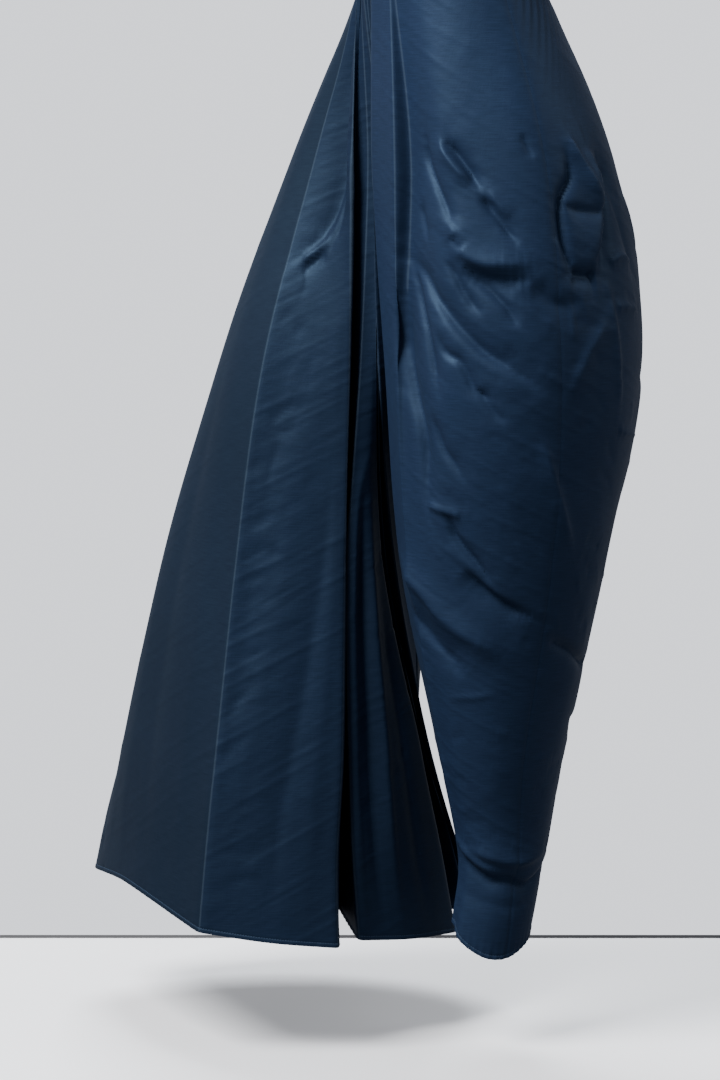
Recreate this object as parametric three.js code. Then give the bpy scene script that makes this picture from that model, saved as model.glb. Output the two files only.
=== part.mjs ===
// Dhoti trousers in crisp taffeta: a wide right leg with a pleated front drape, a tapered left leg.
// Millimetres, +Z up; the wearer faces -Y and the wearer's left is +X, one step forward on the right.
// The origin is on the body's axis, half way up the waistband.
import * as THREE from "three";

// Driving sizes of the cloth and of the waist.
const CLOTH = 1.2; // wall of a cloth panel
const BAND_WALL = 3; // waistband: cloth folded double over a stiffener
const SEAM = 0.3; // gap between two pieces at a seam
const BAND = { height: 40, half_width: 121, front: 97, back: 93, gathers: 16, gather_depth: 1.2, steps: 48 };
const PANEL_TOP = -BAND.height / 2 - SEAM;
const RISE_END = -235; // where the crotch seam leaves the centre front and the centre back
const CROTCH = -400; // lowest point of the crotch seam
const LEG_BLEND = 190; // height over which the crotch seam turns into a leg tube
const POCKET = 5; // width of the bottom of a knife pleat
const MITRE_MOST = 9; // longest mitre of the inner face at a sharp fold
const FLAT_FOLD = 1e-3; // least opening of a fold, for a mitre that stays finite
const NAVY = 0x1b3350;
const SLATE = 0x1d2c3c;

const HEIGHTS = { waist: PANEL_TOP, hip: -205, thigh: -420, knee: -640, calf: -850, ankle: -955 };

// Each row is a line of one leg that runs from the waist, or from the crotch seam, down to the hem.
// Its columns give x and y at each height, and x, y and z at the hem.
// form: smooth cloth, a folded edge, or the bottom of a knife pleat. steps: divisions up to the next line.
const LEFT_LINES = [
  { line: "inseam", form: "smooth", steps: 3, crotch: 10, thigh: [3, 20], knee: [14, 0], calf: [42, 5],
    ankle: [54, 12], hem: [52, 5, -1024] },
  { line: "inner front", form: "smooth", steps: 3, crotch: -52, thigh: [4, -40], knee: [14, -45],
    calf: [43, -24], ankle: [57, -8], hem: [56, -12, -1021] },
  { line: "centre front", form: "edge", steps: 4, waist: [0, -97], hip: [0, -96], thigh: [8, -85],
    knee: [26, -74], calf: [53, -39], ankle: [62, -21], hem: [64, -22, -1022] },
  { line: "flat pleat", form: "smooth", steps: 5, waist: [40, -92], hip: [66, -92], thigh: [66, -94],
    knee: [75, -85], calf: [83, -49], ankle: [84, -30], hem: [80, -36, -1030] },
  { line: "front", form: "smooth", steps: 6, waist: [78, -74], hip: [122, -72], thigh: [132, -82],
    knee: [124, -70], calf: [112, -45], ankle: [105, -28], hem: [102, -38, -1045] },
  { line: "front turn", form: "smooth", steps: 5, waist: [108, -44], hip: [160, -28], thigh: [184, -36],
    knee: [166, -28], calf: [138, -20], ankle: [126, -10], hem: [122, -18, -1062] },
  { line: "side", form: "smooth", steps: 4, waist: [121, 0], hip: [178, 22], thigh: [204, 28],
    knee: [182, 28], calf: [148, 15], ankle: [134, 16], hem: [128, 6, -1064] },
  { line: "back turn", form: "smooth", steps: 4, waist: [108, 42], hip: [158, 93], thigh: [185, 110],
    knee: [168, 86], calf: [138, 58], ankle: [126, 48], hem: [120, 34, -1052] },
  { line: "back", form: "smooth", steps: 4, waist: [80, 70], hip: [110, 140], thigh: [128, 168],
    knee: [122, 128], calf: [108, 86], ankle: [104, 68], hem: [102, 50, -1040] },
  { line: "back middle", form: "smooth", steps: 3, waist: [42, 87], hip: [56, 158], thigh: [82, 177],
    knee: [86, 134], calf: [88, 90], ankle: [90, 70], hem: [88, 53, -1038] },
  { line: "centre back", form: "smooth", steps: 3, waist: [0, 93], hip: [0, 152], thigh: [36, 150],
    knee: [50, 118], calf: [66, 80], ankle: [74, 62], hem: [72, 46, -1034] },
  { line: "inner back", form: "smooth", steps: 3, crotch: 80, thigh: [8, 90], knee: [22, 66],
    calf: [48, 46], ankle: [59, 38], hem: [57, 28, -1029] },
];
const RIGHT_LINES = [
  { line: "inseam", form: "smooth", steps: 3, crotch: 10, thigh: [-8, 20], knee: [-66, -4],
    calf: [-112, 16], ankle: [-138, 40], hem: [-155, 58, -1042] },
  { line: "inner front", form: "smooth", steps: 3, crotch: -52, thigh: [-6, -40], knee: [-58, -32],
    calf: [-88, 6], ankle: [-100, 42], hem: [-105, 70, -1045] },
  { line: "centre front", form: "edge", steps: 1, waist: [0, -97], hip: [0, -96], thigh: [-9, -84],
    knee: [-40, -49], calf: [-56, 0], ankle: [-60, 33], hem: [-62, 66, -1047] },
  { line: "fourth pleat", form: "pocket", steps: 1, waist: [-9, -92.5], hip: [-9, -88], thigh: [-35, -78],
    knee: [-70, -58], calf: [-90, -12], ankle: [-92, 18], hem: [-90, 38, -1043] },
  { line: "fourth edge", form: "edge", steps: 1, waist: [-12, -98.5], hip: [-7, -97], thigh: [-12, -88],
    knee: [-27, -64], calf: [-25, -20], ankle: [-22, 12], hem: [-24, 40, -1054] },
  { line: "third pleat", form: "pocket", steps: 1, waist: [-18, -92], hip: [-17, -89], thigh: [-42, -86],
    knee: [-55, -74], calf: [-55, -25], ankle: [-52, -2], hem: [-48, 10, -1045] },
  { line: "third edge", form: "edge", steps: 3, waist: [-22, -98], hip: [-14, -98], thigh: [-14, -92],
    knee: [-13, -78], calf: [5, -37], ankle: [9, -16], hem: [15, 3, -1061] },
  { line: "third ridge", form: "smooth", steps: 3, waist: [-27, -97], hip: [-20, -99], thigh: [-16, -100],
    knee: [-3, -100], calf: [22, -80], ankle: [32, -72], hem: [38, -64, -1056] },
  { line: "second edge", form: "edge", steps: 2, waist: [-32, -96], hip: [-27, -100], thigh: [-21, -108],
    knee: [-2, -121], calf: [21, -123], ankle: [31, -124], hem: [40, -126, -1050] },
  { line: "second pleat", form: "pocket", steps: 2, waist: [-38, -90], hip: [-44, -96], thigh: [-52, -99],
    knee: [-52, -104], calf: [-45, -110], ankle: [-42, -114], hem: [-38, -120, -1030] },
  { line: "first edge", form: "edge", steps: 4, waist: [-44, -94], hip: [-33, -103], thigh: [-17, -113],
    knee: [6, -129], calf: [36, -146], ankle: [50, -158], hem: [65, -164, -1049] },
  { line: "lit band", form: "smooth", steps: 4, waist: [-55, -86], hip: [-62, -107], thigh: [-44, -151],
    knee: [-20, -184], calf: [12, -211], ankle: [27, -227], hem: [40, -236, -1041] },
  { line: "pressed edge", form: "edge", steps: 4, waist: [-66, -83], hip: [-90, -123], thigh: [-73, -192],
    knee: [-51, -236], calf: [-19, -275], ankle: [-5, -293], hem: [5, -305, -1030] },
  { line: "front", form: "smooth", steps: 4, waist: [-80, -73], hip: [-122, -131], thigh: [-140, -202],
    knee: [-142, -256], calf: [-145, -300], ankle: [-148, -317], hem: [-150, -327, -1007] },
  { line: "front turn", form: "smooth", steps: 3, waist: [-100, -55], hip: [-153, -118], thigh: [-198, -182],
    knee: [-222, -245], calf: [-262, -280], ankle: [-288, -296], hem: [-303, -304, -1024] },
  { line: "side front", form: "smooth", steps: 3, waist: [-115, -30], hip: [-174, -58], thigh: [-212, -90],
    knee: [-232, -160], calf: [-278, -200], ankle: [-303, -215], hem: [-318, -225, -1034] },
  { line: "side", form: "smooth", steps: 3, waist: [-121, 0], hip: [-178, 16], thigh: [-205, 8],
    knee: [-226, -84], calf: [-268, -112], ankle: [-292, -122], hem: [-307, -127, -1036] },
  { line: "back turn", form: "smooth", steps: 3, waist: [-108, 42], hip: [-156, 88], thigh: [-176, 88],
    knee: [-202, 4], calf: [-236, -38], ankle: [-256, -42], hem: [-270, -40, -1038] },
  { line: "back", form: "smooth", steps: 3, waist: [-80, 70], hip: [-108, 134], thigh: [-122, 128],
    knee: [-154, 44], calf: [-190, 6], ankle: [-203, 12], hem: [-214, 22, -1040] },
  { line: "centre back", form: "smooth", steps: 3, waist: [0, 93], hip: [0, 152], thigh: [-40, 122],
    knee: [-104, 48], calf: [-152, 20], ankle: [-174, 30], hem: [-184, 42, -1041] },
  { line: "inner back", form: "smooth", steps: 3, crotch: 80, thigh: [-14, 76], knee: [-80, 24],
    calf: [-130, 22], ankle: [-160, 36], hem: [-170, 50, -1042] },
];
// Soft troughs of the left leg, each along a short path over the cloth.
// turns: degrees round the leg from the front towards the side and the back; heights: z at each turn.
const LEFT_AXIS = { x: 95, y: 20, radius: 110 };
const LEFT_FOLDS = [
  { fold: "flat pleat", turns: [-13, -14, -6, 6], heights: [-130, -350, -450, -560], width: 24, depth: 8 },
  { fold: "front drape", turns: [4, 22, 34, 72], heights: [-170, -240, -292, -318], width: 24, depth: 9 },
  { fold: "long drape", turns: [0, 20, 48, 82], heights: [-310, -345, -396, -436], width: 22, depth: 8 },
  { fold: "short drape", turns: [38, 68], heights: [-318, -366], width: 20, depth: 5 },
  { fold: "thigh drape", turns: [22, 52], heights: [-390, -446], width: 20, depth: 5 },
  { fold: "knee drape", turns: [16, 44], heights: [-475, -560], width: 22, depth: 6 },
  { fold: "shin drape", turns: [26, 50, 84], heights: [-580, -640, -680], width: 22, depth: 6 },
  { fold: "hip tuck", turns: [112, 114], heights: [-205, -296], width: 26, depth: 13 },
  { fold: "side drape", turns: [147, 136, 120, 98], heights: [-190, -280, -380, -440], width: 22, depth: 7 },
  { fold: "low side drape", turns: [86, 108], heights: [-520, -605], width: 22, depth: 6 },
  { fold: "back drape", turns: [186, 206], heights: [-300, -520], width: 24, depth: 7 },
  { fold: "inner back drape", turns: [200, 184], heights: [-560, -760], width: 22, depth: 5 },
  { fold: "ankle", turns: [6, 60, 130], heights: [-968, -988, -990], width: 17, depth: 5 },
];
const LEGS = {
  left: { side: 1, lines: LEFT_LINES, folds: LEFT_FOLDS, rows: { rise: 8, leg: 28 } },
  right: { side: -1, lines: RIGHT_LINES, folds: [], rows: { rise: 6, leg: 20 } },
};

// Value at z of a smooth curve through knots of [z, value], with the slopes of its neighbours.
function curveValue(knots, z) {
  let i = 0;
  while (i < knots.length - 2 && z < knots[i + 1][0]) i += 1;
  const slope = (a, b) => (b[1] - a[1]) / (b[0] - a[0]);
  const [p, q] = [knots[i], knots[i + 1]];
  const start = slope(knots[Math.max(i - 1, 0)], q);
  const end = slope(p, knots[Math.min(i + 2, knots.length - 1)]);
  const span = q[0] - p[0];
  const t = THREE.MathUtils.clamp((z - p[0]) / span, 0, 1);
  const ease = t * t * (3 - 2 * t);
  return p[1] + (q[1] - p[1]) * ease + span * (start * t * (1 - t) ** 2 - end * t * t * (1 - t));
}

// Height of the crotch seam at a share of the way from the centre seam to the inseam.
function crotchHeight(share) {
  return RISE_END + (CROTCH - RISE_END) * Math.sin((share * Math.PI) / 2);
}

// A point kept on its own leg's side of the centre seam; below the crotch the legs part.
function ownSide(leg, point) {
  const least = SEAM / 2 - Math.max(CROTCH - point.z, 0);
  point.x = leg.side * Math.max(leg.side * point.x, least);
  return point;
}

// Point of one line at a height.
function linePoint(leg, row, z) {
  const names = Object.keys(HEIGHTS).filter((name) => name in row);
  const heights = [...names.map((name) => HEIGHTS[name]), row.hem[2]];
  const places = [...names.map((name) => row[name]), row.hem];
  const knots = (axis) => places.map((place, i) => [heights[i], place[axis]]);
  let x = curveValue(knots(0), z);
  let y = curveValue(knots(1), z);
  if ("crotch" in row) {
    const blend = THREE.MathUtils.smoothstep(row.top - z, 0, LEG_BLEND);
    x = THREE.MathUtils.lerp(0, x, blend);
    y = THREE.MathUtils.lerp(row.crotch, y, blend);
  }
  return ownSide(leg, new THREE.Vector3(x, y, z));
}

// Lines that leave the crotch seam start at its height, the others at the waist.
function legTop(row, part) {
  if ("crotch" in row) return row.top;
  return part === "rise" ? PANEL_TOP : RISE_END;
}

// Gives each line that leaves the crotch seam the height where it does so.
function setCrotchTops(leg) {
  const depthAtHip = (name) => leg.lines.find((row) => row.line === name).hip[1];
  const inseam = leg.lines[0].crotch;
  for (const row of leg.lines) {
    if (!("crotch" in row)) continue;
    const start = depthAtHip(row.crotch < inseam ? "centre front" : "centre back");
    row.top = crotchHeight((row.crotch - start) / (inseam - start));
  }
}

// The bottom of a knife pleat is two points, a pocket's width apart.
function openPocket(before, at, after) {
  const mouth = before.clone().sub(at).setZ(0).normalize();
  const other = after.clone().sub(at).setZ(0).normalize();
  const across = mouth.clone().sub(other).normalize().multiplyScalar(POCKET / 2);
  return [at.clone().add(across), at.clone().sub(across)];
}

// Points of one row round a leg, with a note of which line each belongs to.
function rowPoints(leg, part, share) {
  const rows = leg.lines.filter((row) => part === "leg" || !("crotch" in row));
  const keys = rows.map((row) => {
    const top = legTop(row, part);
    const bottom = part === "rise" ? RISE_END : row.hem[2];
    return linePoint(leg, row, THREE.MathUtils.lerp(top, bottom, share));
  });
  const closed = part === "leg";
  const count = rows.length;
  const at = (i) => keys[(i + count) % count];
  const out = [];
  const last = closed ? count : count - 1;
  for (let i = 0; i < last; i += 1) {
    const [p, q] = [at(i), at(i + 1)];
    const length = p.distanceTo(q);
    const tangent = (k, direction) => {
      const row = rows[(k + count) % count];
      const open = !closed && (k === 0 || k === count - 1);
      if (row.form !== "smooth" || open) return direction.clone();
      const reach = at(k + 1).distanceTo(at(k)) + at(k).distanceTo(at(k - 1));
      return at(k + 1).clone().sub(at(k - 1)).multiplyScalar(length / reach);
    };
    const along = q.clone().sub(p);
    const [m, n] = [tangent(i, along), tangent(i + 1, along)];
    for (let s = 0; s < rows[i].steps; s += 1) {
      const t = s / rows[i].steps;
      const ease = t * t * (3 - 2 * t);
      const point = p.clone().lerp(q, ease);
      point.addScaledVector(m, t * (1 - t) ** 2).addScaledVector(n, -t * t * (1 - t));
      if (s === 0 && rows[i].form === "pocket") {
        const [a, b] = openPocket(at(i - 1), p, q);
        out.push({ line: rows[i].line, point: ownSide(leg, a) });
        out.push({ line: `${rows[i].line} end`, point: ownSide(leg, b) });
      } else {
        out.push({ line: s === 0 ? rows[i].line : "", point: ownSide(leg, point) });
      }
    }
  }
  if (!closed) out.push({ line: rows[count - 1].line, point: at(count - 1).clone() });
  return out;
}

// How far the folds press a point of the left leg inward.
function foldDepth(folds, point) {
  const turn = Math.atan2(point.x - LEFT_AXIS.x, LEFT_AXIS.y - point.y);
  const round = turn < -Math.PI / 2 ? turn + 2 * Math.PI : turn;
  const here = new THREE.Vector2(round * LEFT_AXIS.radius, point.z);
  const nearest = new THREE.Vector3();
  let depth = 0;
  for (const { turns, heights, width, depth: deepest } of folds) {
    const path = turns.map((degrees, i) => (
      new THREE.Vector3(THREE.MathUtils.degToRad(degrees) * LEFT_AXIS.radius, heights[i], 0)
    ));
    const place = new THREE.Vector3(here.x, here.y, 0);
    for (let i = 0; i < path.length - 1; i += 1) {
      new THREE.Line3(path[i], path[i + 1]).closestPointToPoint(place, true, nearest);
      depth = Math.max(depth, deepest * Math.exp(-((nearest.distanceTo(place) / width) ** 2)));
    }
  }
  return depth;
}

// Both faces of the cloth: the folds press a point inward, and the wall's inner face follows the mitre.
function clothCells(leg, row, closed) {
  const count = row.length;
  const normal = (i, j) => {
    const step = row[(j + count) % count].point.clone().sub(row[(i + count) % count].point);
    return new THREE.Vector2(leg.side * step.y, -leg.side * step.x).normalize();
  };
  return row.map(({ point }, i) => {
    const before = closed || i > 0 ? normal(i - 1, i) : normal(i, i + 1);
    const after = closed || i < count - 1 ? normal(i, i + 1) : normal(i - 1, i);
    const opening = Math.max(1 + before.dot(after), FLAT_FOLD);
    const mitre = before.clone().add(after).multiplyScalar(CLOTH / opening);
    mitre.clampLength(CLOTH, MITRE_MOST);
    const press = foldDepth(leg.folds, point) / CLOTH;
    const moved = (share) => (
      ownSide(leg, new THREE.Vector3(point.x - mitre.x * share, point.y - mitre.y * share, point.z))
    );
    return { outer: moved(press), inner: moved(press + 1) };
  });
}

// All rows of a leg. Above the crotch seam the columns between the legs are empty.
function legGrid(leg) {
  setCrotchTops(leg);
  const lower = [];
  for (let j = 0; j <= leg.rows.leg; j += 1) lower.push(rowPoints(leg, "leg", j / leg.rows.leg));
  const names = lower[0].map((cell) => cell.line);
  const first = names.indexOf("centre front");
  const rows = [];
  for (let j = 0; j < leg.rows.rise; j += 1) {
    const cells = new Array(names.length).fill(null);
    clothCells(leg, rowPoints(leg, "rise", j / leg.rows.rise), false).forEach((cell, i) => {
      cells[first + i] = cell;
    });
    rows.push(cells);
  }
  for (const row of lower) rows.push(clothCells(leg, row, true));
  return { names, rows };
}

// A point moved a little along the cloth, to part two pieces at a seam.
function trimmed(cell, next) {
  const pull = (a, b) => a.clone().add(b.clone().sub(a).setLength(SEAM / 2));
  return { outer: pull(cell.outer, next.outer), inner: pull(cell.inner, next.inner) };
}

// Closed wall over the columns of a grid from one named line to another.
function wallGeometry(leg, grid, from, to, trimStart, trimEnd) {
  const count = grid.names.length;
  const start = grid.names.indexOf(from);
  const length = (grid.names.indexOf(to) - start + count) % count || count;
  const columns = Array.from({ length: length + 1 }, (_, i) => (start + i) % count);
  const cells = grid.rows.map((row) => {
    const line = columns.map((c) => row[c]);
    const end = line.length - 1;
    if (trimStart && line[0]) line[0] = trimmed(line[0], line[1]);
    if (trimEnd && line[end]) line[end] = trimmed(line[end], line[end - 1]);
    return line;
  });
  const positions = [];
  const ids = cells.map((line) => line.map((cell) => {
    if (!cell) return null;
    positions.push(...cell.outer.toArray(), ...cell.inner.toArray());
    return positions.length / 3 - 2;
  }));
  const faces = [];
  const edges = new Map();
  const quad = (a, b, c, d) => {
    faces.push(a, b, c, a, c, d);
  };
  const edge = (a, b) => {
    if (!edges.delete(`${b},${a}`)) edges.set(`${a},${b}`, [a, b]);
  };
  for (let j = 0; j < ids.length - 1; j += 1) {
    for (let i = 0; i < columns.length - 1; i += 1) {
      const ring = [ids[j][i], ids[j + 1][i], ids[j + 1][i + 1], ids[j][i + 1]];
      if (ring.includes(null)) continue;
      if (leg.side < 0) ring.reverse();
      const [a, b, c, d] = ring;
      quad(a, b, c, d);
      quad(c + 1, b + 1, a + 1, d + 1);
      edge(a, b);
      edge(b, c);
      edge(c, d);
      edge(d, a);
    }
  }
  for (const [a, b] of edges.values()) quad(b, a, a + 1, b + 1);
  const geometry = new THREE.BufferGeometry();
  geometry.setAttribute("position", new THREE.Float32BufferAttribute(positions, 3));
  geometry.setIndex(faces);
  geometry.computeVertexNormals();
  return geometry;
}

// Half of the waistband: a closed strip round the front or the back of the waist ellipse.
function bandGeometry(sign, depth, gathers) {
  const clear = SEAM / 2 / BAND.half_width;
  const outline = [];
  const point = (k, inset) => {
    const turn = clear + (Math.PI - 2 * clear) * (k / BAND.steps);
    const wave = gathers ? BAND.gather_depth * Math.cos(turn * gathers * 2) ** 2 * Math.sin(turn) : 0;
    const shrink = inset + wave;
    return [(BAND.half_width - shrink) * Math.cos(turn), sign * (depth - shrink) * Math.sin(turn)];
  };
  for (let k = 0; k <= BAND.steps; k += 1) outline.push(point(k, 0));
  for (let k = BAND.steps; k >= 0; k -= 1) outline.push(point(k, BAND_WALL));
  const shape = new THREE.Shape(outline.map(([x, y]) => new THREE.Vector2(x, y)));
  const geometry = new THREE.ExtrudeGeometry(shape, { depth: BAND.height, bevelEnabled: false });
  geometry.translate(0, 0, -BAND.height / 2);
  return geometry;
}

function clothMaterial(colour) {
  const side = THREE.DoubleSide;
  return new THREE.MeshStandardMaterial({ color: colour, roughness: 0.5, metalness: 0, side });
}

const group = new THREE.Group();
function addPiece(name, geometry, colour) {
  const mesh = new THREE.Mesh(geometry, clothMaterial(colour));
  mesh.name = name;
  group.add(mesh);
}

const left = legGrid(LEGS.left);
const right = legGrid(LEGS.right);
addPiece("waistband_front", bandGeometry(-1, BAND.front, 0), NAVY);
addPiece("waistband_back", bandGeometry(1, BAND.back, BAND.gathers), NAVY);
addPiece("left_front", wallGeometry(LEGS.left, left, "inseam", "side", true, true), NAVY);
addPiece("left_back", wallGeometry(LEGS.left, left, "side", "inseam", true, true), NAVY);
addPiece("right_pleats", wallGeometry(LEGS.right, right, "inseam", "pressed edge", true, true), NAVY);
addPiece("right_front", wallGeometry(LEGS.right, right, "pressed edge", "side", true, true), SLATE);
addPiece("right_back", wallGeometry(LEGS.right, right, "side", "inseam", true, true), SLATE);

export default group;
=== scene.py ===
import math

import bpy
import numpy as np
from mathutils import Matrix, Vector


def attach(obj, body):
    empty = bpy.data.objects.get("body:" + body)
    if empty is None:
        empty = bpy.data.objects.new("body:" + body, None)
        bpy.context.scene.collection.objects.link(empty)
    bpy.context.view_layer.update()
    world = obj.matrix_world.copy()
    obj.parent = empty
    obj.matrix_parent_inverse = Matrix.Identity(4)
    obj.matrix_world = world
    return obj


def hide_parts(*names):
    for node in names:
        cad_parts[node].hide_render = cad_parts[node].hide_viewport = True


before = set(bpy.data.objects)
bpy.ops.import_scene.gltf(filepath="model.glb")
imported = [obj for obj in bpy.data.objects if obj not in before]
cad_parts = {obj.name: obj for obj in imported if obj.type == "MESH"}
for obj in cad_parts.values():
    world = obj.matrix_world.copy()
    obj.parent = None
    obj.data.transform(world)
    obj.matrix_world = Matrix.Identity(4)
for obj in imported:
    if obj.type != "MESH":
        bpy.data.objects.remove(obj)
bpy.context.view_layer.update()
MM = 0.001

# The view and the studio, in metres and degrees.
MIDDLE = Vector((-0.042, -0.090, -0.621))  # what the camera looks at
AZIMUTH = 65  # from the wearer's front round to the left
ELEVATION = 8.6
DISTANCE = 4.0
LENS = 121.2  # mm, on a sensor 36 mm high
FLOOR = -1.166
FLOOR_END = 0.357  # from the middle back to the far edge of the floor
FLOOR_REACH = 3  # to each side
FLOOR_NEAR = 5  # from its far edge towards the camera
FLOOR_SHADE_LINE = 0.004  # height of a dark strip that paints the shade where the floor meets the backdrop

# The garment, in mm: +Z up, the wearer faces -Y.
CLOTH = 0.5  # thickness of the shell that stands for the taffeta
SEAM = 0.06  # gap between two pieces at a seam, too narrow to see through
BAND_HALF_WIDTH = 121
BAND_DEPTHS = {"front": 97, "back": 93}
BAND_HEIGHT = 40
BAND_WALL = 3
PANEL_TOP = -20.3
UNDER_BAND = 1.5  # how far inside the band's outline the backs are sewn on
RISE_END = -235
CROTCH = -400
LEG_BLEND = 190  # below the crotch seam, where a line comes away from the middle
SEAT = 110  # below the end of the rise, where the back comes to turn in towards the inner side
POCKET = 5  # width at the bottom of a knife pleat
LEG_LENGTH = 810  # from the end of the rise to the hem
HEM = 4.4  # height of the hem's stitching
HEM_ROWS = (8.5, 7, 5.8, 5, HEM, 3.8, 3, 1.6, 0)  # heights of the points that shape the hem
SEAM_GROOVE = 0.6
STITCH = 2.9  # from one stitch to the next
SOFTENED = 2  # rounds of averaging that soften the folded edges
ROUNDED = 0.3  # share of a fold's reach that its crest is rounded over
FALL = 1.3  # how fast a fold dies away over its reach
UNPRESSED = 30  # mark of cloth that is far from any pressed edge
PRESSED_TO = (330, 430)  # depths between which the painted highlight on the left leg's pressed edges dies out
HEIGHTS = {"waist": PANEL_TOP, "hip": -205, "thigh": -420, "knee": -640, "calf": -850, "ankle": -955}

# Each row is a line of one leg that runs from the waist, or from the crotch seam, down to the hem:
# its name, its form, x and y at each height, and x, y and z at the hem. The lines are those of the solids,
# but for the recess beside the flat pleat and the third and fourth pleats, which are set deeper.
LEFT_LINES = [
    ("inseam", "smooth", {"crotch": 10, "thigh": (3, 20), "knee": (14, 0), "calf": (42, 5),
                          "ankle": (54, 12), "hem": (52, 5, -1024)}),
    ("inner front", "smooth", {"crotch": -52, "thigh": (4, -40), "knee": (14, -45), "calf": (43, -24),
                               "ankle": (57, -8), "hem": (56, -12, -1021)}),
    ("centre front", "edge", {"waist": (0, -97), "hip": (0, -96), "thigh": (8, -85), "knee": (26, -74),
                              "calf": (53, -39), "ankle": (62, -21), "hem": (64, -22, -1022)}),
    ("flat pleat", "edge", {"waist": (39, -93), "hip": (60, -98), "thigh": (63, -97), "knee": (74, -86),
                            "calf": (83, -50), "ankle": (84, -31), "hem": (80, -37, -1030)}),
    ("pleat recess", "edge", {"waist": (42, -89.5), "hip": (62, -78), "thigh": (67, -90), "knee": (79, -84),
                              "calf": (87, -48), "ankle": (88, -30), "hem": (84, -36, -1031)}),
    ("front", "smooth", {"waist": (78, -74), "hip": (122, -72), "thigh": (132, -82), "knee": (124, -70),
                         "calf": (112, -45), "ankle": (105, -28), "hem": (102, -38, -1045)}),
    ("front turn", "smooth", {"waist": (108, -44), "hip": (160, -28), "thigh": (184, -36),
                              "knee": (166, -28), "calf": (138, -20), "ankle": (126, -10),
                              "hem": (122, -18, -1062)}),
    ("side", "smooth", {"waist": (121, 0), "hip": (178, 22), "thigh": (204, 28), "knee": (182, 28),
                        "calf": (148, 15), "ankle": (134, 16), "hem": (128, 6, -1064)}),
    ("back turn", "smooth", {"waist": (108, 42), "hip": (158, 93), "thigh": (185, 110), "knee": (168, 86),
                             "calf": (138, 58), "ankle": (126, 48), "hem": (120, 34, -1052)}),
    ("back", "smooth", {"waist": (80, 70), "hip": (110, 140), "thigh": (128, 168), "knee": (122, 128),
                        "calf": (108, 86), "ankle": (104, 68), "hem": (102, 50, -1040)}),
    ("back middle", "smooth", {"waist": (42, 87), "hip": (56, 158), "thigh": (82, 177), "knee": (86, 134),
                               "calf": (88, 90), "ankle": (90, 70), "hem": (88, 53, -1038)}),
    ("centre back", "smooth", {"waist": (0, 93), "hip": (0, 152), "thigh": (36, 150), "knee": (50, 118),
                               "calf": (66, 80), "ankle": (74, 62), "hem": (72, 46, -1034)}),
    ("inner back", "smooth", {"crotch": 80, "thigh": (8, 90), "knee": (22, 66), "calf": (48, 46),
                              "ankle": (59, 38), "hem": (57, 28, -1029)}),
]
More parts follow.
